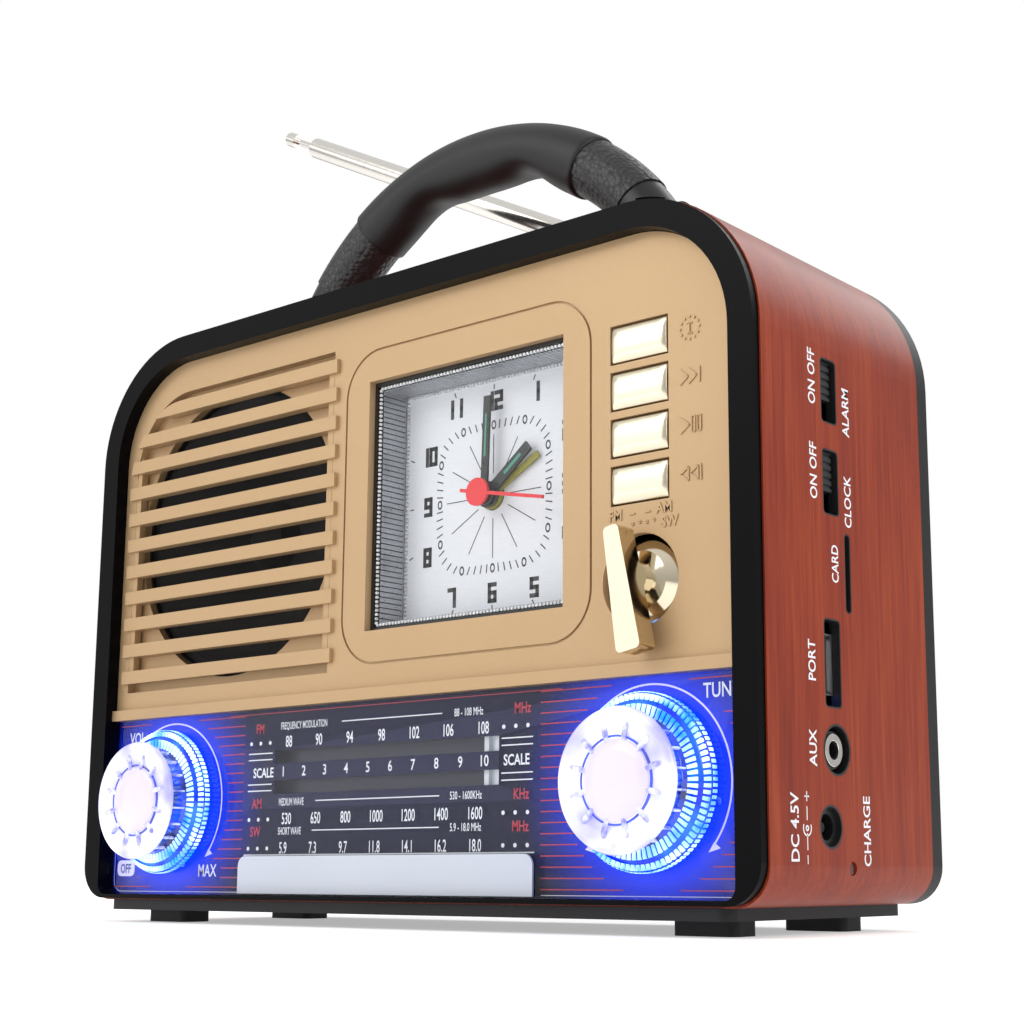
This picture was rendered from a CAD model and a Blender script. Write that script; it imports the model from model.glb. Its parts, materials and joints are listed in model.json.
import json
import math

import bmesh
import bpy
from mathutils import Matrix, Vector


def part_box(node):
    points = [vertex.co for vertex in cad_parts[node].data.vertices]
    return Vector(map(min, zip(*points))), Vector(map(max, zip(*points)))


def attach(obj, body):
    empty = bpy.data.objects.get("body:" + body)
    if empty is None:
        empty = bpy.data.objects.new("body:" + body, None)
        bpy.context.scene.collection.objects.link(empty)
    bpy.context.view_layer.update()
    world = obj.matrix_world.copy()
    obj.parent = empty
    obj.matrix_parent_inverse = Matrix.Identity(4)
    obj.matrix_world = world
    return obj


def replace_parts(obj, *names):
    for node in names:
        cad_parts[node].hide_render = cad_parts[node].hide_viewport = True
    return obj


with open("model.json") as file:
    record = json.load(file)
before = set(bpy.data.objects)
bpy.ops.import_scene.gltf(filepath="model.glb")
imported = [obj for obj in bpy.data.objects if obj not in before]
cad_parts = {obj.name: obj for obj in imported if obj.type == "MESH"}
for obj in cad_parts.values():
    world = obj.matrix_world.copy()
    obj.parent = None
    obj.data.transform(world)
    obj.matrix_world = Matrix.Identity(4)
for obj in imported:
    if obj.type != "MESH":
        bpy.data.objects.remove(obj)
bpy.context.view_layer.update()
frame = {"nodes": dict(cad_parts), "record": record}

MM = 0.001


def middle(node):
    """The middle of a node's box, in millimetres."""
    low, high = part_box(node)
    return (Vector(low) + Vector(high)) / (2 * MM)


def front_of(node):
    """Where a node's front is along Y, in millimetres."""
    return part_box(node)[0][1] / MM


def back_of(node):
    """Where a node's back is along Y, in millimetres."""
    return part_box(node)[1][1] / MM


def box_of(node):
    """A node's lowest and highest corners, in millimetres."""
    return [Vector(corner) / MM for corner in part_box(node)]


# ---------------------------------------------------------------- shader maths

class Shade:
    """A shader socket that can be added, multiplied and raised to a power like a number."""

    def __init__(self, finish, socket):
        self.finish = finish
        self.socket = socket

    def work(self, operation, first, second=0.0, clamp=False):
        return self.finish.node("ShaderNodeMath", {"operation": operation, "use_clamp": clamp},
                                {0: first, 1: second})

    def __add__(self, other):
        return self.work("ADD", self, other)

    __radd__ = __add__

    def __sub__(self, other):
        return self.work("SUBTRACT", self, other)

    def __rsub__(self, other):
        return self.work("SUBTRACT", other, self)

    def __mul__(self, other):
        return self.work("MULTIPLY", self, other)

    __rmul__ = __mul__

    def __truediv__(self, other):
        return self.work("DIVIDE", self, other)

    def __pow__(self, other):
        return self.work("POWER", self, other)

    def clipped(self):
        return self.work("ADD", self, 0.0, clamp=True)


FINISHES = {}


class Finish:
    """A procedural material under construction, kept in FINISHES by its name when it is done."""

    def __init__(self, name):
        self.name = name
        self.material = bpy.data.materials.new(name)
        self.material.use_nodes = True
        self.tree = self.material.node_tree
        self.tree.nodes.clear()

    def node(self, kind, settings=None, sockets=None, output=0):
        """Add a node: its settings go in first, then the values or links of its sockets."""
        made = self.tree.nodes.new(kind)
        for name, value in (settings or {}).items():
            if name == "stops":
                self.fill_ramp(made.color_ramp, value)
            else:
                setattr(made, name, value)
        for name, value in (sockets or {}).items():
            self.feed(made.inputs[name], value)
        return Shade(self, made.outputs[output])

    def feed(self, target, value):
        if isinstance(value, Shade):
            self.tree.links.new(value.socket, target)
        elif isinstance(value, (tuple, list)) and len(value) == 3 and target.type == "RGBA":
            target.default_value = (*value, 1.0)
        else:
            target.default_value = value

    def fill_ramp(self, ramp, stops):
        while len(ramp.elements) < len(stops):
            ramp.elements.new(0.5)
        for element, (position, colour) in zip(ramp.elements, stops):
            element.position = position
            element.color = (*colour, 1.0)

    def place(self, stretch=(1, 1, 1)):
        """The point's own coordinates in millimetres, stretched along the axes."""
        coordinates = self.node("ShaderNodeTexCoord", output=3)
        scale = [1000 * item for item in stretch]
        return self.node("ShaderNodeVectorMath", {"operation": "MULTIPLY"}, {0: coordinates, 1: scale})

    def axes(self):
        """The point's x, y and z in millimetres."""
        split = self.node("ShaderNodeSeparateXYZ", sockets={0: self.place()}).socket.node
        return [Shade(self, split.outputs[count]) for count in range(3)]

    def noise(self, scale, detail=3.0, stretch=(1, 1, 1), roughness=0.5):
        return self.node("ShaderNodeTexNoise", sockets={
            "Vector": self.place(stretch), "Scale": scale, "Detail": detail, "Roughness": roughness})

    def cells(self, scale):
        return self.node("ShaderNodeTexVoronoi", sockets={"Vector": self.place(), "Scale": scale})

    def blend(self, share, first, second):
        made = self.tree.nodes.new("ShaderNodeMix")
        made.data_type = "RGBA"
        for place_in_node, value in ((0, share), (6, first), (7, second)):
            self.feed(made.inputs[place_in_node], value)
        return Shade(self, made.outputs[2])

    def relief(self, height, distance):
        """A bump of a height in millimetres, from a value between 0 and 1."""
        return self.node("ShaderNodeBump", sockets={
            "Height": height, "Distance": distance * MM, "Strength": 1.0})

    def surface(self, **sockets):
        names = {name.replace("_", " "): value for name, value in sockets.items()}
        return self.node("ShaderNodeBsdfPrincipled", sockets=names)

    def done(self, shader):
        output = self.tree.nodes.new("ShaderNodeOutputMaterial")
        self.tree.links.new(shader.socket, output.inputs[0])
        FINISHES[self.name] = self.material
        return self.material


def moulded(name, colour, roughness, grain=0.35, relief=0.02, **sockets):
    """Moulded plastic or paint: a fine skin texture and slightly uneven gloss."""
    finish = Finish(name)
    fine = finish.noise(grain * 6, 4.0)
    broad = finish.noise(0.05, 2.0)
    tone = finish.blend(broad * 0.5, colour, tuple(item * 0.86 for item in colour))
    gloss = fine * 0.10 + (roughness - 0.05) + broad * 0.05
    return finish.done(finish.surface(Base_Color=tone, Roughness=gloss,
                                      Normal=finish.relief(fine, relief), **sockets))


def bright_metal(name, colour, roughness):
    """Polished plating with faint waviness and light smears."""
    finish = Finish(name)
    wave = finish.noise(0.25, 2.0)
    smear = finish.noise(0.6, 3.0)
    tone = finish.blend(smear * 0.25, colour, tuple(item * 0.9 for item in colour))
    return finish.done(finish.surface(Base_Color=tone, Metallic=1.0,
                                      Roughness=smear * 0.06 + roughness,
                                      Normal=finish.relief(wave, 0.03)))


def gold_paint():
    finish = Finish("gold_paint")
    flake = finish.cells(5.0)
    broad = finish.noise(0.03, 2.0)
    tone = finish.blend(broad, (0.475, 0.312, 0.160), (0.515, 0.348, 0.188))
    tone = finish.blend(flake * 0.25, tone, (0.38, 0.245, 0.125))
    return finish.done(finish.surface(Base_Color=tone, Metallic=0.35, Roughness=flake * 0.10 + 0.40,
                                      Normal=finish.relief(flake, 0.012)))


def wood_print():
    """Glossy print of a straight, upright red-brown grain."""
    finish = Finish("wood_print")
    grain = finish.noise(0.9, 6.0, (1.0, 1.0, 0.035), 0.65)
    band = finish.noise(0.12, 3.0, (1.0, 1.0, 0.15), 0.5)
    pores = finish.noise(3.0, 2.0, (1.0, 1.0, 0.05), 0.5)
    tone = finish.node("ShaderNodeValToRGB", {"stops": [
        (0.30, (0.14, 0.013, 0.004)), (0.50, (0.235, 0.027, 0.007)), (0.70, (0.33, 0.055, 0.013))]},
        {0: grain * 0.6 + band * 0.4})
    tone = finish.blend((pores - 0.58).clipped() * 1.6, tone, (0.11, 0.013, 0.006))
    return finish.done(finish.surface(Base_Color=tone, Roughness=grain * 0.12 + 0.34, Coat_Weight=0.05,
                                      Coat_Roughness=0.15, Specular_IOR_Level=0.22,
                                      Normal=finish.relief(grain, 0.012)))


def clear(name, tint, mirror_share):
    """Clear plastic that lets light straight through and mirrors more at grazing angles."""
    finish = Finish(name)
    scuff = finish.noise(0.4, 3.0)
    see_through = finish.node("ShaderNodeBsdfTransparent", sockets={"Color": tint})
    mirror = finish.node("ShaderNodeBsdfGlossy", sockets={"Color": (1.0, 1.0, 1.0),
                                                           "Roughness": scuff * 0.04 + 0.02})
    edge_on = finish.node("ShaderNodeLayerWeight", sockets={"Blend": 0.5}, output=1)
    share = edge_on ** 4.0 * mirror_share + 0.015
    return finish.done(finish.node("ShaderNodeMixShader", sockets={0: share, 1: see_through, 2: mirror}))


GLOW_START = 18.0


def glow_round_knobs(finish, reach):
    """How brightly the lamps behind the knobs light a point of the dial, from 0 to 1."""
    x, _, z = finish.axes()
    total = 0.0
    for node in ("volume_knob", "tuning_knob"):
        centre = middle(node)
        across = (x - centre.x) * (x - centre.x)
        up = (z - centre.z) * (z - centre.z)
        distance = (across + up) ** 0.5
        total = (1.0 - (distance - GLOW_START) / reach).clipped() ** 2.2 + total
    return total


def dial_navy():
    """Gloss navy print, lit blue round the knobs."""
    finish = Finish("dial_navy")
    glow = glow_round_knobs(finish, 21.0)
    speck = finish.noise(1.2, 3.0)
    tone = finish.blend(speck * 0.3, (0.007, 0.007, 0.040), (0.010, 0.010, 0.055))
    light = finish.blend(glow.clipped(), (0.0, 0.0, 0.002), (0.004, 0.038, 1.0))
    return finish.done(finish.surface(Base_Color=tone, Roughness=speck * 0.08 + 0.2, Emission_Color=light,
                                      Specular_IOR_Level=0.3, Emission_Strength=1.15))


def lit(name, colour, strength, base=(0.6, 0.7, 0.9), roughness=0.15, streak=0.35):
    """Clear plastic that carries lamp light, uneven as light piped through a moulding is."""
    finish = Finish(name)
    patch = finish.noise(streak, 3.0)
    light = finish.blend(patch, tuple(item * 0.55 for item in colour), colour)
    return finish.done(finish.surface(Base_Color=base, Roughness=patch * 0.1 + roughness,
                                      Emission_Color=light, Emission_Strength=strength, Coat_Weight=0.5))


def brushed(name, colour, roughness, stretch, metallic=1.0):
    finish = Finish(name)
    line = finish.noise(4.0, 3.0, stretch)
    tone = finish.blend(line, colour, tuple(item * 0.82 for item in colour))
    return finish.done(finish.surface(Base_Color=tone, Metallic=metallic, Roughness=line * 0.15 + roughness,
                                      Normal=finish.relief(line, 0.01)))


def pebbled():
    """Black sleeve with a coarse leather-like pebble."""
    finish = Finish("sleeve_pebble")
    pebble = finish.cells(0.75)
    fine = finish.noise(2.0, 3.0)
    height = (1.0 - pebble) ** 0.6 + fine * 0.15
    tone = finish.blend(pebble, (0.020, 0.020, 0.021), (0.008, 0.008, 0.009))
    return finish.done(finish.surface(Base_Color=tone, Roughness=pebble * 0.2 + 0.28,
                                      Normal=finish.relief(height, 0.35)))


def glowing_face(name, low, high, scale, strength, **sockets):
    """Lamp light seen through a dished clear moulding, in soft patches between two colours."""
    finish = Finish(name)
    patch = finish.noise(scale, 2.0)
    share = ((patch - 0.35) * 3.0).clipped()
    light = finish.blend(share, low, high)
    return finish.done(finish.surface(Base_Color=light, Roughness=patch * 0.1 + 0.08,
                                      Emission_Color=light, Emission_Strength=strength, **sockets))


gold_paint()
wood_print()
moulded("bezel_plastic", (0.0014, 0.0014, 0.0020), 0.27, relief=0.01, Specular_IOR_Level=0.06)
moulded("cover_plastic", (0.007, 0.007, 0.008), 0.45, 0.5, 0.05, Specular_IOR_Level=0.3)
moulded("foot_rubber", (0.008, 0.008, 0.010), 0.5, 0.6, 0.04, Specular_IOR_Level=0.3)
dial_navy()
clear("dial_glass_clear", (0.97, 0.98, 1.0), 0.35)
clear("clear_plastic", (0.975, 0.98, 0.985), 0.30)
moulded("pale_plate", (0.58, 0.62, 0.70), 0.3, relief=0.005)
bright_metal("gold_chrome", (0.78, 0.69, 0.52), 0.09)
bright_metal("nickel", (0.78, 0.75, 0.70), 0.14)
brushed("silver_dial", (0.86, 0.87, 0.90), 0.45, (0.05, 1, 1), 0.0)
moulded("hand_black", (0.008, 0.010, 0.009), 0.35)
moulded("hand_red", (0.80, 0.015, 0.02), 0.4)
moulded("hand_olive", (0.30, 0.27, 0.02), 0.45)
moulded("case_black", (0.010, 0.010, 0.010), 0.35)
moulded("speaker_steel", (0.012, 0.012, 0.012), 0.5)
moulded("cone_paper", (0.016, 0.016, 0.017), 0.85, 0.8, 0.1)
moulded("pointer_white", (0.80, 0.82, 0.84), 0.4)
lit("lamp_board", (0.25, 0.45, 1.0), 1.5)
moulded("board_green", (0.02, 0.11, 0.05), 0.4)
brushed("control_metal", (0.55, 0.55, 0.56), 0.3, (1, 1, 0.1))
brushed("socket_steel", (0.60, 0.60, 0.61), 0.25, (1, 0.2, 1))
moulded("movement_plastic", (0.015, 0.015, 0.016), 0.5)
moulded("set_knob_plastic", (0.015, 0.015, 0.016), 0.4)
moulded("slider_plastic", (0.012, 0.012, 0.013), 0.35)
moulded("jack_plastic", (0.010, 0.010, 0.010), 0.35)
moulded("lamp_red", (0.10, 0.02, 0.02), 0.2)
moulded("cell_wrap", (0.45, 0.30, 0.06), 0.35)
moulded("magnet_ferrite", (0.03, 0.03, 0.03), 0.6)
moulded("ferrite", (0.03, 0.03, 0.03), 0.6)
brushed("screw_steel", (0.25, 0.25, 0.25), 0.35, (1, 1, 0.2))
moulded("grip_rubber", (0.009, 0.009, 0.010), 0.42, 0.5, 0.05, Specular_IOR_Level=0.4)
moulded("end_plastic", (0.008, 0.008, 0.009), 0.33, 0.4, 0.03, Specular_IOR_Level=0.4)
moulded("bracket_plastic", (0.012, 0.012, 0.012), 0.4)
lit("knob_clear", (0.2, 0.5, 1.0), 1.0)
glowing_face("lamp_blue", (0.0, 0.015, 0.60), (0.01, 0.12, 1.0), 0.15, 1.2)
glowing_face("lamp_cyan", (0.02, 0.26, 1.0), (0.72, 1.0, 1.0), 0.13, 1.1)
glowing_face("waist_blue", (0.0, 0.003, 0.09), (0.01, 0.06, 0.70), 0.16, 0.75, Coat_Weight=1.0)
glowing_face("face_white", (0.34, 0.33, 0.86), (0.92, 0.94, 1.0), 0.07, 0.55, Coat_Weight=0.5)
glowing_face("disc_lilac", (0.56, 0.51, 0.74), (0.62, 0.58, 0.80), 0.05, 0.42)
glowing_face("rib_clear", (0.22, 0.22, 0.62), (0.85, 0.87, 1.0), 0.45, 0.3, Coat_Weight=1.0)
bright_metal("key_chrome", (0.74, 0.67, 0.51), 0.20)
moulded("slot_slate", (0.045, 0.042, 0.07), 0.4, relief=0.005)
moulded("print_white", (0.80, 0.82, 0.86), 0.5, relief=0.002)
lit("print_lilac", (0.45, 0.42, 0.75), 0.5, (0.6, 0.58, 0.8), 0.4)
moulded("print_navy", (0.03, 0.05, 0.30), 0.5, relief=0.002)
moulded("print_red", (0.48, 0.03, 0.06), 0.5, relief=0.002)
moulded("lume_green", (0.06, 0.30, 0.20), 0.5, relief=0.01)
glowing_face("bead_white", (0.45, 0.46, 0.47), (0.85, 0.86, 0.87), 1.5, 0.05)
brushed("rib_grey", (0.42, 0.43, 0.46), 0.22, (1, 0.2, 1), 0.6)
FINISHES["bar_paint"] = FINISHES["gold_paint"]
FINISHES["sleeve_leather"] = pebbled()


# ---------------------------------------------------------------- mesh tools

def piece(name, bm, finish, body, smooth=False, bevel=0.0):
    """Turn a bmesh, in millimetres in the part's own frame, into a piece that rides on a body."""
    bmesh.ops.recalc_face_normals(bm, faces=bm.faces)
    bmesh.ops.scale(bm, vec=(MM, MM, MM), verts=bm.verts)
    mesh = bpy.data.meshes.new(name)
    bm.to_mesh(mesh)
    bm.free()
    mesh.materials.append(finish)
    for face in mesh.polygons:
        face.use_smooth = smooth
    item = bpy.data.objects.new(name, mesh)
    bpy.context.scene.collection.objects.link(item)
    if bevel:
        soften(item, bevel)
    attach(item, body)
    return item


def soften(item, width, segments=2, angle=35):
    """Round the sharp edges of a piece a little."""
    bevel = item.modifiers.new("soft_edges", "BEVEL")
    bevel.width = width * MM
    bevel.segments = segments
    bevel.limit_method = "ANGLE"
    bevel.angle_limit = math.radians(angle)


def loft(bm, rings, start_cap=True, end_cap=True):
    """Join closed rings of the same number of points."""
    rows = [[bm.verts.new(point) for point in ring] for ring in rings]
    for row, following in zip(rows, rows[1:]):
        for count in range(len(row)):
            other = (count + 1) % len(row)
            bm.faces.new((row[count], row[other], following[other], following[count]))
    if start_cap:
        bm.faces.new(rows[0])
    if end_cap:
        bm.faces.new(list(reversed(rows[-1])))
    return rows


def lathe(bm, profile, centre, steps=72, start_cap=True, end_cap=True):
    """Turn a profile of (radius, y) about the line through the centre along Y."""
    rings = []
    for radius, depth in profile:
        rings.append([(centre.x + radius * math.cos(2 * math.pi * step / steps), depth,
                       centre.z + radius * math.sin(2 * math.pi * step / steps)) for step in range(steps)])
    loft(bm, rings, start_cap, end_cap)


def slab(bm, outline, front, back):
    """A flat plate with an outline of (x, z) points."""
    loft(bm, [[(x, front, z) for x, z in outline], [(x, back, z) for x, z in outline]])


def stroke(bm, start, end, width, front, back):
    """A straight bar on a face that looks along -Y."""
    along = (Vector(end) - Vector(start)).normalized()
    side = Vector((-along.y, along.x)) * width / 2
    corners = [Vector(start) + side, Vector(end) + side, Vector(end) - side, Vector(start) - side]
    slab(bm, [(point.x, point.y) for point in corners], front, back)


def band(bm, centre, radius, width, start, end, front, back, steps=48, tall=1.0):
    """A strip along an arc, from a start to an end angle in degrees, anticlockwise from +X."""
    rings = []
    for step in range(steps + 1):
        angle = math.radians(start + (end - start) * step / steps)
        inner, outer = ((centre[0] + reach * math.cos(angle), centre[1] + tall * reach * math.sin(angle))
                        for reach in (radius - width / 2, radius + width / 2))
        rings.append([(inner[0], front, inner[1]), (outer[0], front, outer[1]),
                      (outer[0], back, outer[1]), (inner[0], back, inner[1])])
    loft(bm, rings, abs(end - start) < 360, abs(end - start) < 360)


FACING = {"front": Matrix(((1, 0, 0), (0, 0, -1), (0, 1, 0))),
          "right": Matrix(((0, 0, 1), (0, -1, 0), (1, 0, 0)))}
CAPITAL = 0.729


def words(bm, text, place, height, squeeze=1.0, bold=0.0, facing="front", left=False, depth=0.0):
    """Add lettering: place is the middle of the words, or their left end where left is set."""
    curve = bpy.data.curves.new("words", "FONT")
    curve.body = text
    curve.offset = bold
    curve.resolution_u = 3
    size = height / CAPITAL
    curve.extrude = depth / size / 2
    item = bpy.data.objects.new("words", curve)
    bpy.context.scene.collection.objects.link(item)
    mesh = bpy.data.meshes.new_from_object(item.evaluated_get(bpy.context.evaluated_depsgraph_get()))
    bpy.data.objects.remove(item)
    across = [vertex.co.x for vertex in mesh.vertices]
    start = min(across) if left else (min(across) + max(across)) / 2
    mesh.transform(Matrix.Translation((-start, -CAPITAL / 2, 0)))
    mesh.transform(Matrix.Diagonal((size * squeeze, size, size, 1)))
    mesh.transform(Matrix.Translation(place) @ FACING[facing].to_4x4())
    bm.from_mesh(mesh)
    bpy.data.meshes.remove(mesh)


# ---------------------------------------------------------------- carried-over nodes

SLOT_OF = {part["node"]: part["material_slot"] for part in frame["record"]["subparts"]}
for node, item in frame["nodes"].items():
    item.data.materials.clear()
    item.data.materials.append(FINISHES[SLOT_OF[node]])

for node, width in (("front_bezel", 0.7), ("louvre_bars", 0.3), ("front_panel", 0.25), ("band_lever", 0.6),
                    ("name_plate", 0.25), ("base_plinth", 0.4), ("feet", 0.4), ("back_cover", 0.3)):
    soften(frame["nodes"][node], width)


# ---------------------------------------------------------------- knobs

RIBS = 12
WAIST_FLATS = 20
RIM_SHARE = 0.81
KNOB_GAP = 0.5
RIB_SIDES = 8
RIB_HALF_WIDTH = 0.72
RIB_HEIGHT = 0.62


def knob(name):
    """Clear lit knob: toothed flange, faceted waist and dished face with ribs round a flat disc."""
    low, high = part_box(name)
    centre = middle(name)
    face = front_of(name)
    flange = (high[0] - low[0]) / (2 * MM)
    rim = flange * RIM_SHARE
    seat = front_of("dial_glass") - KNOB_GAP
    bm = bmesh.new()
    lathe(bm, [(3.0, back_of(name)), (3.0, seat), (flange - 0.6, seat), (flange - 0.2, seat - 0.5),
               (flange - 0.2, seat - 1.6), (flange - 1.4, seat - 2.0), (flange - 1.8, seat - 2.3),
               (flange - 1.8, seat - 3.0), (flange - 3.6, seat - 3.4), (6.0, seat - 3.4)], centre, 96)
    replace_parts(piece(name + "_flange", bm, FINISHES["lamp_blue"], name, smooth=True), name)
    bm = bmesh.new()
    for radius, length, front, back, count in ((flange, 0.6, seat - 1.5, seat - 0.2, 96),
                                               (flange - 0.5, 1.9, seat - 2.5, seat - 1.6, 84),
                                               (flange - 2.7, 2.3, seat - 3.7, seat - 2.9, 72)):
        teeth(bm, centre, radius, length, front, back, count)
    piece(name + "_teeth", bm, FINISHES["lamp_cyan"], name)
    bm = bmesh.new()
    lathe(bm, [(rim - 0.9, seat - 3.3), (rim - 2.2, seat - 4.4), (rim - 1.7, face + 2.4),
               (rim - 0.5, face + 1.6)], centre, WAIST_FLATS)
    piece(name + "_waist", bm, FINISHES["waist_blue"], name, bevel=0.2)
    bm = bmesh.new()
    for count in range(WAIST_FLATS):
        angle = 2 * math.pi * (count + 0.5) / WAIST_FLATS
        fin(bm, centre, angle, rim - 1.9, rim - 1.2, face + 2.2, seat - 4.2)
    piece(name + "_fins", bm, FINISHES["rib_clear"], name, bevel=0.1)
    bm = bmesh.new()
    lathe(bm, [(rim - 1.2, face + 2.0), (rim - 0.1, face + 1.6), (rim, face + 1.1), (rim - 0.35, face + 0.35),
               (rim - 1.0, face), (rim - 1.5, face + 0.1), (rim - 2.1, face + 0.45),
               (rim * 0.64, face + 1.15), (rim * 0.60, face + 1.2), (rim * 0.585, face + 0.9),
               (rim * 0.56, face + 0.85)], centre, 96, end_cap=False)
    piece(name + "_face", bm, FINISHES["face_white"], name, smooth=True)
    bm = bmesh.new()
    lathe(bm, [(rim * 0.565, face + 0.9), (rim * 0.55, face + 0.62), (rim * 0.3, face + 0.6)], centre, 72)
    piece(name + "_disc", bm, FINISHES["disc_lilac"], name, smooth=True)
    bm = bmesh.new()
    band(bm, (centre.x, centre.z), rim * 0.595, 0.45, 0, 360, face + 0.8, face + 1.3, 72)
    piece(name + "_groove", bm, FINISHES["waist_blue"], name)
    bm = bmesh.new()
    for count in range(RIBS):
        rib(bm, centre, 2 * math.pi * (count + 0.5) / RIBS, rim * 0.53, rim * 0.80, face)
    piece(name + "_ribs", bm, FINISHES["rib_clear"], name, smooth=True, bevel=0.2)


def teeth(bm, centre, radius, length, front, back, count):
    """A row of small wedge teeth round a rim."""
    for number in range(count):
        middle_angle = 2 * math.pi * number / count
        half = 0.29 * 2 * math.pi / count
        outline = []
        foot = radius - length
        for reach, angle in ((radius, -half), (radius, half), (foot, half), (foot, -half)):
            outline.append((centre.x + reach * math.cos(middle_angle + angle),
                            centre.z + reach * math.sin(middle_angle + angle)))
        slab(bm, outline, front, back)


def fin(bm, centre, angle, inner, outer, front, back):
    """A thin upright bar along the waist, where two of its flats meet."""
    half = 0.22 / inner
    outline = []
    for reach, turn in ((inner, -half), (outer, -half), (outer, half), (inner, half)):
        outline.append((centre.x + reach * math.cos(angle + turn), centre.z + reach * math.sin(angle + turn)))
    slab(bm, outline, front, back)


def rib(bm, centre, angle, inner, outer, face):
    """A half-round radial rib with rounded ends."""
    along = Vector((math.cos(angle), 0, math.sin(angle)))
    side = Vector((-math.sin(angle), 0, math.cos(angle)))
    rings = []
    for share in (0.0, 0.08, 0.3, 0.7, 0.92, 1.0):
        swell = max((1 - (2 * share - 1) ** 6) ** 0.5, 0.3)
        spot = Vector((centre.x, 0, centre.z)) + along * (inner + (outer - inner) * share)
        ring = []
        for step in range(RIB_SIDES):
            turn = 2 * math.pi * step / RIB_SIDES
            ring.append(spot + side * (RIB_HALF_WIDTH * math.cos(turn) * swell)
                        + Vector((0, face + 0.65 + RIB_HEIGHT * math.sin(turn) * swell, 0)))
        rings.append(ring)
    loft(bm, rings)


for node in ("volume_knob", "tuning_knob"):
    knob(node)


# ---------------------------------------------------------------- buttons and panel marks

BUTTONS = ("lamp_button", "next_button", "play_button", "previous_button")
KEY_HALF_WIDTH = 7.55
KEY_HALF_HEIGHT = 4.1
KEY_DEPTH = 3.0
PANEL_FACE = -33.0
MARKS_X = 91.8


def button_cap(name):
    """Barrel-curved chrome key: round along its length, with softened ends."""
    low, high = box_of(name)
    centre = middle(name)
    half = min((high.x - low.x) / 2, KEY_HALF_WIDTH)
    tall = min((high.z - low.z) / 2, KEY_HALF_HEIGHT)
    face = low.y
    bm = bmesh.new()
    rings = []
    for across in range(17):
        u = -1 + 2 * across / 16
        end = (1 - abs(u) ** 14) ** 0.5
        ring = []
        for up in range(15):
            v = -1 + 2 * up / 14
            crown = 0.8 * (1 - abs(v) ** 3)
            sunk = 1.25 - crown * (0.55 + 0.45 * end)
            ring.append((centre.x + half * u, face + sunk, centre.z + tall * v))
        for up in (tall, -tall):
            ring.append((centre.x + half * u, face + KEY_DEPTH, centre.z + up))
        rings.append(ring)
    loft(bm, rings)
    cap = piece(name + "_cap", bm, FINISHES["key_chrome"], name, smooth=True)
    soften(cap, 0.3, 3, 50)
    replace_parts(cap, name)


for node in BUTTONS:
    button_cap(node)


def panel_marks():
    """Raised marks beside the keys and over the band selector, in the panel's own paint."""
    face = PANEL_FACE
    raised = face - 0.3
    bm = bmesh.new()
    x = MARKS_X
    heights = [middle(node).z for node in BUTTONS]
    for count in range(12):
        angle = 2 * math.pi * count / 12
        band(bm, (x + 2.5 * math.cos(angle), heights[0] + 2.5 * math.sin(angle)), 0.16, 0.3, 0, 360,
             raised, face, 10)
    stroke(bm, (x, heights[0] - 1.2), (x, heights[0] + 1.1), 0.32, raised, face)
    stroke(bm, (x - 0.7, heights[0] + 1.1), (x + 0.7, heights[0] + 1.1), 0.3, raised, face)
    stroke(bm, (x - 0.7, heights[0] - 1.2), (x + 0.7, heights[0] - 1.2), 0.3, raised, face)
    for offset in (-2.6, -0.4):
        chevron(bm, x + offset, heights[1], 2.1, 1.7, raised, face)
    stroke(bm, (x + 2.5, heights[1] - 1.7), (x + 2.5, heights[1] + 1.7), 0.4, raised, face)
    chevron(bm, x - 2.6, heights[2], 2.3, 1.7, raised, face)
    for offset in (0.8, 2.3):
        hollow_bar(bm, x + offset, heights[2], 0.9, 1.7, raised, face)
    for offset in (-0.6, 1.9):
        chevron(bm, x + offset, heights[3], -2.1, 1.5, raised, face)
        stroke(bm, (x + offset, heights[3] - 1.5), (x + offset, heights[3] + 1.5), 0.3, raised, face)
    stroke(bm, (x + 2.6, heights[3] - 1.7), (x + 2.6, heights[3] + 1.7), 0.4, raised, face)
    for text, place in (("FM", (71.6, 89.3)), ("AM", (84.6, 89.6)), ("SW", (86.2, 86.4))):
        words(bm, text, (place[0], face, place[1]), 2.4, 0.9, 0.02, depth=0.55)
    for start in (75.4, 79.6):
        stroke(bm, (start, 89.0), (start + 1.5, 89.1), 0.3, raised, face)
    for count in range(4):
        spot = (76.2 + 1.9 * count, 86.9 + 0.25 * (count % 2))
        band(bm, spot, 0.3, 0.3, 0, 360, raised, face, 12)
    piece("panel_marks", bm, FINISHES["gold_paint"], "cabinet", bevel=0.06)


def chevron(bm, x, z, wide, tall, front, back):
    stroke(bm, (x, z + tall), (x + wide, z), 0.32, front, back)
    stroke(bm, (x, z - tall), (x + wide, z), 0.32, front, back)


def hollow_bar(bm, x, z, wide, tall, front, back):
    for side in (-wide / 2, wide / 2):
        stroke(bm, (x + side, z - tall), (x + side, z + tall), 0.22, front, back)
    for end in (-tall, tall):
        stroke(bm, (x - wide / 2, z + end), (x + wide / 2, z + end), 0.22, front, back)


panel_marks()


# ---------------------------------------------------------------- dial print

DIAL_PRINT = front_of("dial_plate") - 0.05
INK = 0.04
DIAL_LEFT = -107.8
DIAL_FOOT = 6.3
LINE_PITCH = 2.4
LOWEST_LINE = 9.3
DIAL_EDGE = 103.0
SCALE_LEFT = -50.6
SCALE_RIGHT = 49.4


def dial_x(value):
    """A distance from the dial's left edge, as a place along X."""
    return DIAL_LEFT + value


def dial_z(value):
    """A height above the dial's foot, as a place along Z."""
    return DIAL_FOOT + value


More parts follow.
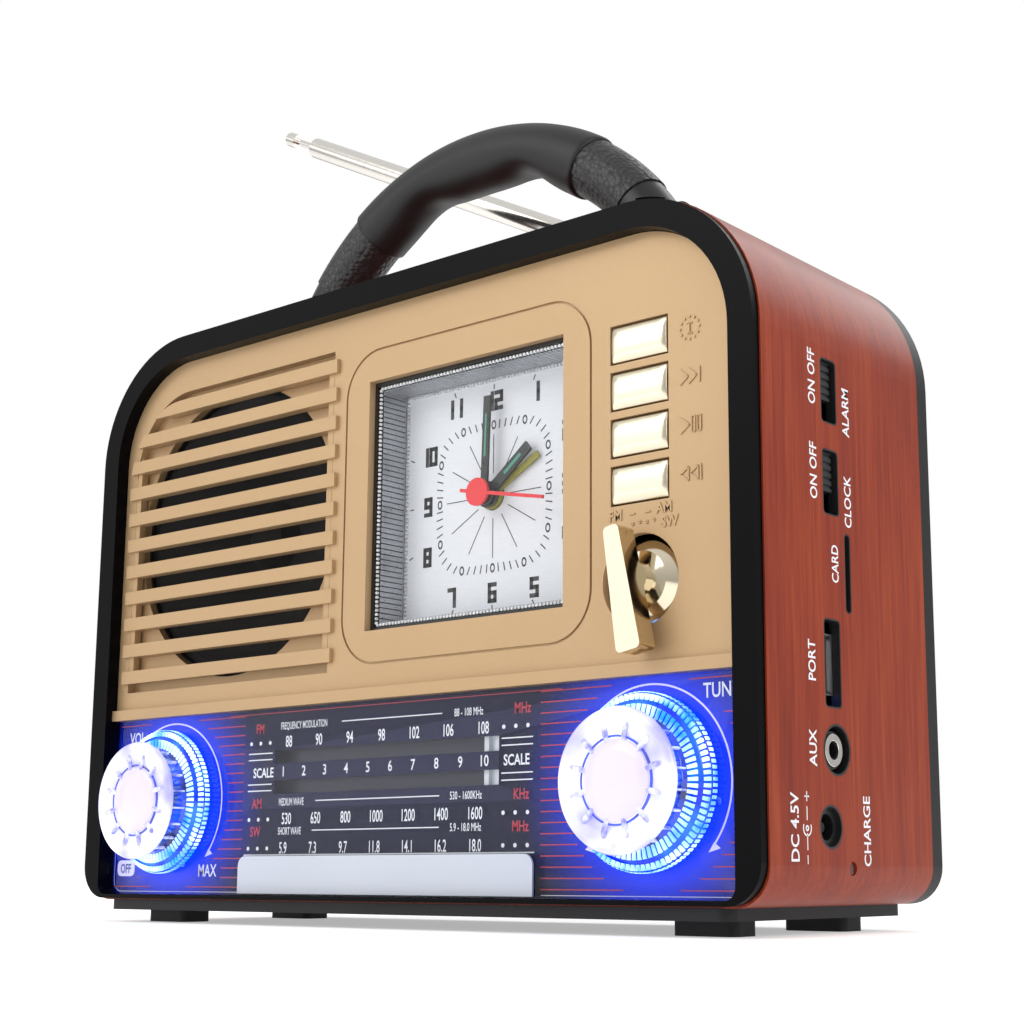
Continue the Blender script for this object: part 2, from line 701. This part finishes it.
def dial_white():
    """White scales, captions and rings printed behind the dial glass."""
    bm = bmesh.new()
    y = DIAL_PRINT
    rows = (((88, 90, 94, 98, 102, 106, 108), 74.1, 140.1, 39.2, 2.9, 0.62),
            (range(1, 11), 72.3, 140.5, 31.7, 2.6, 0.85),
            ((530, 650, 800, 1000, 1200, 1400, 1600), 74.0, 137.8, 20.0, 2.9, 0.60),
            (("5.9", "7.3", "9.7", "11.8", "14.1", "16.2", "18.0"), 73.0, 137.9, 12.8, 2.9, 0.60))
    for numbers, first, last, height, tall, squeeze in rows:
        for count, number in enumerate(numbers):
            spot = first + (last - first) * count / (len(numbers) - 1)
            words(bm, str(number), (dial_x(spot), y, dial_z(height)), tall, squeeze, 0.012)
    for spot in (64.8, 150.1):
        words(bm, "SCALE", (dial_x(spot), y, dial_z(31.6)), 2.5, 0.8, 0.02)
    for start, end in ((59.0, 68.0), (145.6, 154.9)):
        for height in (36.4, 34.8, 28.6, 27.0):
            stroke(bm, (dial_x(start), dial_z(height)), (dial_x(end), dial_z(height)), 0.28, y, y + INK)
    captions = (("FREQUENCY MODULATION", 71.0, 43.1, "88 - 108 MHz", 142.6),
                ("MEDIUM WAVE", 71.0, 24.1, "530 - 1600KHz", 142.0),
                ("SHORT WAVE", 71.0, 16.9, "5.9 - 18.0 MHz", 142.0))
    for name, start, height, reach, end in captions:
        words(bm, name, (dial_x(start), y, dial_z(height)), 1.9, 0.52, 0.008, left=True)
        words(bm, reach, (dial_x(end - 7.2), y, dial_z(height)), 1.9, 0.62, 0.008)
        line = [(dial_x(value), dial_z(height)) for value in (start + 0.98 * len(name) + 2.6, end - 15.6)]
        stroke(bm, *line, 0.26, y, y + INK)
    for height in (39.0, 19.8, 12.6):
        for start in (59.8, 146.2):
            for count in range(3):
                band(bm, (dial_x(start + 3.6 * count), dial_z(height)), 0.25, 0.5, 0, 360, y, y + INK, 14)
    stroke(bm, (dial_x(58.2), dial_z(11.0)), (dial_x(155.4), dial_z(11.0)), 0.3, y, y + INK)
    for text, spot, height in (("VOL", 12.3, 42.8), ("MAX", 44.1, 7.3), ("TUN", 204.6, 43.7)):
        words(bm, text, (dial_x(spot), y, dial_z(height)), 3.2, 0.78, 0.012)
    frame_line(bm, y)
    piece("dial_print_white", bm, FINISHES["print_white"], "cabinet")
    bm = bmesh.new()
    rounded = rounded_box(dial_x(9.8), dial_z(7.8), 3.7, 2.1, 1.5)
    slab(bm, rounded, y, y + INK)
    piece("off_label_ground", bm, FINISHES["print_lilac"], "cabinet")
    bm = bmesh.new()
    words(bm, "OFF", (dial_x(9.8), y - 0.06, dial_z(7.8)), 2.5, 0.75, 0.02)
    piece("off_label", bm, FINISHES["print_navy"], "cabinet")
    bm = bmesh.new()
    for node, arrows in (("volume_knob", (-38,)), ("tuning_knob", (-38, -142))):
        ring_with_arrows(bm, middle(node), arrows, y)
    piece("dial_rings", bm, FINISHES["print_lilac"], "cabinet")


def frame_line(bm, y):
    """Thin line that follows the bottom corners of the dial."""
    low, corner = 8.05, 3.0
    for side in (-1, 1):
        band(bm, (side * (DIAL_EDGE - corner), low + corner), corner, 0.16,
             270, 270 + side * 90, y, y + INK, 12)
        stroke(bm, (side * (DIAL_EDGE - corner), low), (side * 49.6, low), 0.16, y, y + INK)
        stroke(bm, (side * DIAL_EDGE, low + corner), (side * DIAL_EDGE, 44.0), 0.10, y, y + INK)


def rounded_box(x, z, half_wide, half_tall, corner, steps=6):
    outline = []
    for quarter, (side, up) in enumerate(((1, 1), (-1, 1), (-1, -1), (1, -1))):
        for step in range(steps + 1):
            angle = math.radians(90 * (quarter + step / steps))
            outline.append((x + side * (half_wide - corner) + corner * math.cos(angle),
                            z + up * (half_tall - corner) + corner * math.sin(angle)))
    return outline


def ring_with_arrows(bm, centre, arrows, y):
    """Arc printed round a knob, with an arrowhead where it ends."""
    radius = 20.6
    start = arrows[0]
    end = 360 + arrows[1] if len(arrows) > 1 else 232
    band(bm, (centre.x, centre.z), radius, 0.42, start, end, y, y + INK, 96)
    for angle in arrows:
        turn = math.radians(angle)
        direction = -1 if math.cos(turn) > 0 else 1
        tip = math.radians(angle + 7 * direction)
        slab(bm, [(centre.x + radius * math.cos(tip), centre.z + radius * math.sin(tip)),
                  (centre.x + (radius + 1.7) * math.cos(turn), centre.z + (radius + 1.7) * math.sin(turn)),
                  (centre.x + (radius - 0.3) * math.cos(turn), centre.z + (radius - 0.3) * math.sin(turn))],
             y, y + INK)


def free_stretches(start, end, gaps):
    """What is left of a line after the gaps are taken out of it."""
    stretches = [(start, end)]
    for low, high in gaps:
        cut = []
        for first, last in stretches:
            if high <= first or low >= last:
                cut.append((first, last))
                continue
            if low > first:
                cut.append((first, low))
            if high < last:
                cut.append((high, last))
        stretches = cut
    return [item for item in stretches if item[1] - item[0] > 0.6]


def dial_red():
    """Fine red lines either side of the scales, stopping short of the rings and captions."""
    bm = bmesh.new()
    y = DIAL_PRINT
    labels = ((dial_x(5), dial_x(17.5), dial_z(40.4), dial_z(45.4)),
              (dial_x(5), dial_x(14.6), dial_z(5.2), dial_z(10.4)),
              (dial_x(39.0), dial_x(49.4), dial_z(5.2), dial_z(9.4)),
              (dial_x(200.0), dial_x(209.5), dial_z(41.2), dial_z(46.2)))
    for count in range(19):
        height = LOWEST_LINE + LINE_PITCH * count
        for start, end, knob_node in ((-DIAL_EDGE, SCALE_LEFT, "volume_knob"),
                                      (SCALE_RIGHT, DIAL_EDGE, "tuning_knob")):
            centre = middle(knob_node)
            gaps = []
            clear_radius = 23.4
            if abs(height - centre.z) < clear_radius:
                half = (clear_radius ** 2 - (height - centre.z) ** 2) ** 0.5
                gaps.append((centre.x - half, centre.x + half))
            gaps += [(left, right) for left, right, low, high in labels if low < height < high]
            for first, last in free_stretches(start, end, gaps):
                stroke(bm, (first, height), (last, height), 0.26, y, y + INK)
    top = LOWEST_LINE + LINE_PITCH * 18 + 0.3
    stroke(bm, (SCALE_LEFT - 6, top), (SCALE_RIGHT + 6, top), 0.2, y, y + INK)
    for text, spot, height in (("FM", 63.1, 42.8), ("AM", 62.6, 23.9), ("SW", 62.4, 16.9),
                               ("MHz", 151.9, 43.1), ("KHz", 151.6, 24.0), ("MHz", 151.4, 16.9)):
        words(bm, text, (dial_x(spot), y, dial_z(height)), 2.5, 0.75, 0.015)
    piece("dial_print_red", bm, FINISHES["print_red"], "cabinet")


# ---------------------------------------------------------------- clock

SEGMENTS = {"0": "abcdef", "1": "bc", "2": "abged", "3": "abgcd", "4": "fgbc", "5": "afgcd",
            "6": "afgcde", "7": "abc", "8": "abcdefg", "9": "gfabcd"}
DIAL_TICKS = 17.6
TICK_SQUARENESS = 4.5
DIAL_HALF = 27.8
HOUR_MARK_END = 0.955
LENS_BEADS = 56
LENS_RIBS = 44


def digit(bm, number, x, z, wide, tall, thick, y):
    """A square-built numeral made of straight strokes, which overrun to square off its corners."""
    ends = {"a": ((-1, 1), (1, 1)), "b": ((1, 1), (1, 0)), "c": ((1, 0), (1, -1)), "d": ((-1, -1), (1, -1)),
            "e": ((-1, 0), (-1, -1)), "f": ((-1, 1), (-1, 0)), "g": ((-1, 0), (1, 0))}
    for letter in SEGMENTS[number]:
        start, end = (Vector((x + u * wide / 2, z + v * tall / 2)) for u, v in ends[letter])
        overrun = (end - start).normalized() * thick / 2
        stroke(bm, start - overrun, end + overrun, thick, y, y + INK)


def clock_print():
    """Black numerals, minute track and spokes on the silver dial."""
    centre = middle("clock_dial")
    y = front_of("clock_dial") - 0.05
    bm = bmesh.new()
    places = {12: (0, 23.6), 1: (13.2, 23.6), 2: (23.0, 12.7), 3: (23.0, 0), 4: (23.0, -12.7),
              5: (13.2, -23.6), 6: (0, -23.6), 7: (-13.2, -23.6), 8: (-21.6, -12.7), 9: (-21.6, 0),
              10: (-21.6, 12.7), 11: (-13.2, 23.6)}
    for hour, (across, up) in places.items():
        figures = str(hour)
        for count, figure in enumerate(figures):
            shift = (count - (len(figures) - 1) / 2) * 3.0
            digit(bm, figure, centre.x + across + shift, centre.z + up, 1.8, 3.9, 1.05, y)
        edge = [math.copysign(DIAL_HALF, place) if abs(place) > 20 else place for place in (across, up)]
        stroke(bm, (centre.x + edge[0], centre.z + edge[1]),
               (centre.x + edge[0] * HOUR_MARK_END, centre.z + edge[1] * HOUR_MARK_END), 0.3, y, y + INK)
    for count in range(60):
        angle = 2 * math.pi * count / 60
        away = Vector((math.sin(angle), math.cos(angle)))
        reach = DIAL_TICKS / (abs(away.x) ** TICK_SQUARENESS
                              + abs(away.y) ** TICK_SQUARENESS) ** (1 / TICK_SQUARENESS)
        spot = Vector((centre.x, centre.z)) + away * reach
        if count % 5:
            stroke(bm, spot - away * 1.05, spot + away * 1.05, 0.3, y, y + INK)
        else:
            band(bm, spot, 0.62, 0.32, 0, 360, y, y + INK, 16, tall=1.5)
            stroke(bm, Vector((centre.x, centre.z)) + away * 5.5,
                   Vector((centre.x, centre.z)) + away * min(reach - 2.4, 15.5), 0.22, y, y + INK)
    piece("clock_print", bm, FINISHES["hand_black"], "cabinet")


def lume(name, angle, inner, outer, width):
    """Green glowing strip let into a hand."""
    centre = middle("clock_dial")
    y = front_of(name) - 0.03
    away = Vector((math.sin(math.radians(angle)), math.cos(math.radians(angle))))
    hub = Vector((centre.x, centre.z))
    bm = bmesh.new()
    stroke(bm, hub + away * inner, hub + away * outer, width, y, y + 0.03)
    piece(name + "_lume", bm, FINISHES["lume_green"], name)


def lens_edging():
    """Beaded edges and ribbed side walls moulded into the clock's clear cover."""
    low, high = box_of("clock_lens")
    centre = middle("clock_lens")
    half = (high.x - low.x) / 2
    bm = bmesh.new()
    for depth, reach in ((low.y + 0.15, half - 0.5), (high.y - 0.6, half - 1.6)):
        for side in range(4):
            for number in range(LENS_BEADS):
                spot = -reach + 2 * reach * (number + 0.5) / LENS_BEADS
                across, up = ((spot, reach), (spot, -reach), (reach, spot), (-reach, spot))[side]
                if abs(across) > reach - 0.5 and abs(up) > reach - 0.5:
                    continue
                bead = rounded_box(centre.x + across, centre.z + up, 0.36, 0.36, 0.3, 2)
                slab(bm, bead, depth, depth + 0.5)
    piece("clock_lens_beads", bm, FINISHES["bead_white"], "cabinet")
    bm = bmesh.new()
    wall = half - 0.9
    reach = wall - 0.12
    rib_half = wall / LENS_RIBS * 0.8
    for side in range(4):
        for number in range(LENS_RIBS):
            spot = -wall + 2 * wall * (number + 0.5) / LENS_RIBS
            across, up = ((spot, reach), (spot, -reach), (reach, spot), (-reach, spot))[side]
            flat = (rib_half, 0.1) if side < 2 else (0.1, rib_half)
            slab(bm, [(centre.x + across - flat[0], centre.z + up - flat[1]),
                      (centre.x + across + flat[0], centre.z + up - flat[1]),
                      (centre.x + across + flat[0], centre.z + up + flat[1]),
                      (centre.x + across - flat[0], centre.z + up + flat[1])], low.y + 0.9, high.y - 0.7)
    piece("clock_lens_ribs", bm, FINISHES["rib_grey"], "cabinet", bevel=0.05)


# ---------------------------------------------------------------- handle

ARCH_CENTRE = Vector((0.0, 0.5, 130.7))
ARCH_RADIUS = 70.0
GRIP_ANGLE = 33.0
GRIP_RADIUS = 8.3
HOLLOW_ANGLE = 16.5
HOLLOW_SPREAD = 7.0
HOLLOW_DEPTH = 2.9


def arch_ring(angle, radius, hollow=0.0, steps=40):
    """One cross-section of the handle; the hollow flattens the side towards the palm."""
    turn = math.radians(angle)
    away = Vector((math.sin(turn), 0, math.cos(turn)))
    across = Vector((0, 1, 0))
    spot = ARCH_CENTRE + away * ARCH_RADIUS
    ring = []
    for step in range(steps):
        around = 2 * math.pi * step / steps
        under = max(0.0, -math.cos(around)) ** 1.6
        reach = radius - hollow * under
        ring.append(spot + away * (reach * math.cos(around)) + across * (reach * math.sin(around)))
    return ring


def hand_grip():
    """Padded grip with two shallow finger hollows under it and a ridge between them."""
    ends = [(GRIP_ANGLE + past, GRIP_RADIUS - less) for past, less in ((0.0, 0.0), (0.45, 0.3), (0.5, 0.8))]
    rings = [arch_ring(-angle, radius) for angle, radius in reversed(ends)]
    for step in range(1, 64):
        angle = -GRIP_ANGLE + 2 * GRIP_ANGLE * step / 64
        dip = HOLLOW_DEPTH * math.exp(-((abs(angle) - HOLLOW_ANGLE) / HOLLOW_SPREAD) ** 2)
        rings.append(arch_ring(angle, GRIP_RADIUS, dip))
    rings += [arch_ring(angle, radius) for angle, radius in ends]
    bm = bmesh.new()
    loft(bm, rings)
    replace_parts(piece("hand_grip", bm, FINISHES["grip_rubber"], "handle", smooth=True),
                "handle_grip")


# ---------------------------------------------------------------- right-hand side

FILM = 0.02
ROUND_OPENINGS = ((-7.5, 38.2, 5.5), (-10.6, 22.2, 4.6))
SIDE_OPENINGS = ((-7.5, 116.0, 6.6, 14.6), (-7.5, 95.7, 6.6, 14.6), (-1.2, 76.5, 2.6, 17.6),
                 (-8.4, 56.4, 6.8, 19.0))


def side_print():
    """White captions beside the switches and sockets, read from the bottom up."""
    bm = bmesh.new()
    x = wall_right() + FILM
    labels = (("ON OFF", -14.6, 118.0, 2.9, 0.86), ("ON OFF", -14.6, 97.2, 2.9, 0.86),
              ("ALARM", -0.6, 112.6, 2.9, 0.86), ("CLOCK", -0.6, 92.6, 2.9, 0.86),
              ("CARD", -6.6, 78.0, 2.8, 0.8), ("PORT", -16.9, 56.4, 2.9, 0.86),
              ("AUX", -17.2, 38.2, 2.9, 0.9),
              ("DC 4.5V", -24.8, 22.0, 3.1, 0.92), ("CHARGE", 3.9, 21.6, 2.9, 0.95))
    for text, y, z, tall, squeeze in labels:
        words(bm, text, (x, y, z), tall, squeeze, 0.016, facing="right")
    polarity(bm, x, -20.0, 21.8)
    piece("side_print", bm, FINISHES["print_white"], "cabinet")


def wall_right():
    """Where the outside of the right-hand wall is along X, in millimetres."""
    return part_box("wood_shell")[1][0] / MM


def polarity(bm, x, y, z):
    """Plus outside, minus inside: the usual sign for a barrel socket."""
    def bar(y0, z0, y1, z1):
        loft(bm, [[(layer, y0, z0), (layer, y1, z0), (layer, y1, z1), (layer, y0, z1)]
                  for layer in (x - FILM, x)])
    bar(y - 0.15, z + 1.6, y + 0.15, z + 4.4)
    bar(y - 0.15, z - 4.4, y + 0.15, z - 1.0)
    bar(y - 0.15, z + 5.4, y + 0.15, z + 7.4)
    bar(y - 0.9, z + 6.25, y + 0.9, z + 6.55)
    bar(y - 0.15, z - 7.2, y + 0.15, z - 5.4)
    for radius, start, end in ((1.5, 60, 300), (0.45, 0, 360)):
        steps = 24
        rings = []
        for step in range(steps + 1):
            angle = math.radians(start + (end - start) * step / steps)
            rings.append([(x - FILM * layer, y + reach * math.sin(angle), z + reach * math.cos(angle))
                          for layer, reach in ((0, radius - 0.17), (0, radius + 0.17),
                                               (1, radius + 0.17), (1, radius - 0.17))])
        loft(bm, rings, end - start < 360, end - start < 360)


def slot_backing():
    """Dark strip behind the two pointer windows of the dial."""
    low, high = box_of("dial_pointer")
    bm = bmesh.new()
    strip = rounded_box(-1.0, (low.z + high.z) / 2, 42.0, (high.z - low.z) / 2, 0.5)
    slab(bm, strip, high.y + 0.2, high.y + 0.5)
    piece("pointer_backing", bm, FINISHES["slot_slate"], "cabinet")


def side_linings():
    """Black mouldings that line the openings in the right-hand wall."""
    outer = wall_right() - 0.03
    bm = bmesh.new()
    for node_y, node_z, deep, tall in SIDE_OPENINGS:
        rings = []
        for x, shrink in ((outer, 0.0), (outer, 0.35), (outer - 2.4, 0.35), (outer - 2.4, 0.0)):
            corner = 1.2 - shrink
            rings.append([(x, y, z) for y, z in rounded_box(node_y, node_z, deep / 2 - shrink,
                                                           tall / 2 - shrink, corner)])
        loft(bm, rings + rings[:1], False, False)
    piece("side_linings", bm, FINISHES["slider_plastic"], "cabinet")


def socket_rings():
    """Bright ring of the audio socket, and the dark linings of the two round openings."""
    outer = wall_right() - 0.03
    bm = bmesh.new()
    for y, z, radius in ROUND_OPENINGS:
        washer(bm, y, z, radius, radius - 0.5, outer - 2.4, outer)
    piece("socket_linings", bm, FINISHES["jack_plastic"], "cabinet")
    y, z, radius = ROUND_OPENINGS[0]
    bm = bmesh.new()
    washer(bm, y, z, radius * 0.64, radius * 0.36, outer - 1.25, outer - 0.75)
    piece("aux_ring", bm, FINISHES["nickel"], "cabinet", bevel=0.12)


def washer(bm, y, z, outer, inner, back, front, steps=48):
    """A flat ring that faces the right-hand side."""
    rings = []
    for step in range(steps + 1):
        angle = 2 * math.pi * step / steps
        rings.append([(x, y + reach * math.cos(angle), z + reach * math.sin(angle))
                      for x, reach in ((back, inner), (back, outer), (front, outer), (front, inner))])
    loft(bm, rings, False, False)


dial_white()
dial_red()
clock_print()
lume("minute_hand", 2, 9.0, 19.5, 0.55)
lume("hour_hand", 52, 7.0, 13.5, 0.8)
lens_edging()
hand_grip()
side_print()
slot_backing()
side_linings()
socket_rings()


# ---------------------------------------------------------------- studio

def studio_floor():
    finish = Finish("studio_floor")
    speck = finish.noise(0.02, 2.0)
    tone = finish.blend(speck, (0.93, 0.93, 0.93), (0.90, 0.90, 0.90))
    mesh = bpy.data.meshes.new("studio_floor")
    bm = bmesh.new()
    bmesh.ops.create_grid(bm, x_segments=1, y_segments=1, size=6)
    bm.to_mesh(mesh)
    bm.free()
    mesh.materials.append(finish.done(finish.surface(
        Base_Color=tone, Roughness=0.8, Specular_IOR_Level=0.1, Emission_Color=(1.0, 1.0, 1.0),
        Emission_Strength=0.42)))
    floor = bpy.data.objects.new("studio_floor", mesh)
    bpy.context.scene.collection.objects.link(floor)


def studio_world():
    """Soft room light, brightest from above and dimmer from in front; the backdrop itself is white."""
    world = bpy.data.worlds.new("studio_world")
    world.use_nodes = True
    tree = world.node_tree
    tree.nodes.clear()
    coordinates = tree.nodes.new("ShaderNodeTexCoord")
    split = tree.nodes.new("ShaderNodeSeparateXYZ")
    tree.links.new(coordinates.outputs["Generated"], split.inputs[0])
    height = tree.nodes.new("ShaderNodeMapRange")
    for ends, low, high in (("From", -0.2, 0.8), ("To", WORLD_LOW, WORLD_HIGH)):
        height.inputs[ends + " Min"].default_value = low
        height.inputs[ends + " Max"].default_value = high
    tree.links.new(split.outputs[2], height.inputs["Value"])
    room = tree.nodes.new("ShaderNodeBackground")
    tree.links.new(height.outputs[0], room.inputs["Strength"])
    backdrop = tree.nodes.new("ShaderNodeBackground")
    backdrop.inputs["Strength"].default_value = 1.0
    for shader in (room, backdrop):
        shader.inputs["Color"].default_value = (1.0, 1.0, 1.0, 1.0)
    path = tree.nodes.new("ShaderNodeLightPath")
    mix = tree.nodes.new("ShaderNodeMixShader")
    output = tree.nodes.new("ShaderNodeOutputWorld")
    tree.links.new(path.outputs["Is Camera Ray"], mix.inputs[0])
    tree.links.new(room.outputs[0], mix.inputs[1])
    tree.links.new(backdrop.outputs[0], mix.inputs[2])
    tree.links.new(mix.outputs[0], output.inputs[0])
    bpy.context.scene.world = world


def studio_lights():
    for name, place, size, power in LIGHTS:
        light = bpy.data.lights.new(name, "AREA")
        light.energy = power
        light.size = size
        lamp = bpy.data.objects.new(name, light)
        lamp.location = place
        lamp.rotation_mode = "QUATERNION"
        lamp.rotation_quaternion = (Vector((0, 0, 0.1)) - Vector(place)).to_track_quat("-Z", "Y")
        bpy.context.scene.collection.objects.link(lamp)


def studio_camera():
    data = bpy.data.cameras.new("studio_camera")
    data.sensor_width = 36.0
    data.lens = CAMERA["lens"]
    data.shift_x = CAMERA["shift_x"]
    data.shift_y = CAMERA["shift_y"]
    item = bpy.data.objects.new("studio_camera", data)
    item.location = Vector(CAMERA["place"]) * MM
    item.rotation_euler = (math.pi / 2 + CAMERA["pitch"], 0.0, CAMERA["turn"])
    bpy.context.scene.collection.objects.link(item)
    bpy.context.scene.camera = item


CAMERA = {"lens": 60.779, "shift_x": -0.07617, "shift_y": 0.04492, "place": (298.28, -323.31, 12.94),
          "pitch": 0.18001, "turn": 0.67823}
WORLD_LOW = 0.38
WORLD_HIGH = 0.80
LIGHTS = (("key_light", (-0.5, -1.2, 1.0), 0.9, 6.0),
          ("front_light", (-0.70, -0.97, 0.30), 0.9, 2.6),
          ("side_light", (1.3, -0.2, 0.7), 0.7, 5.0),
          ("back_light", (0.2, 1.2, 1.2), 1.0, 6.0))

studio_floor()
studio_world()
studio_lights()
studio_camera()
bpy.context.scene.view_settings.view_transform = "Standard"
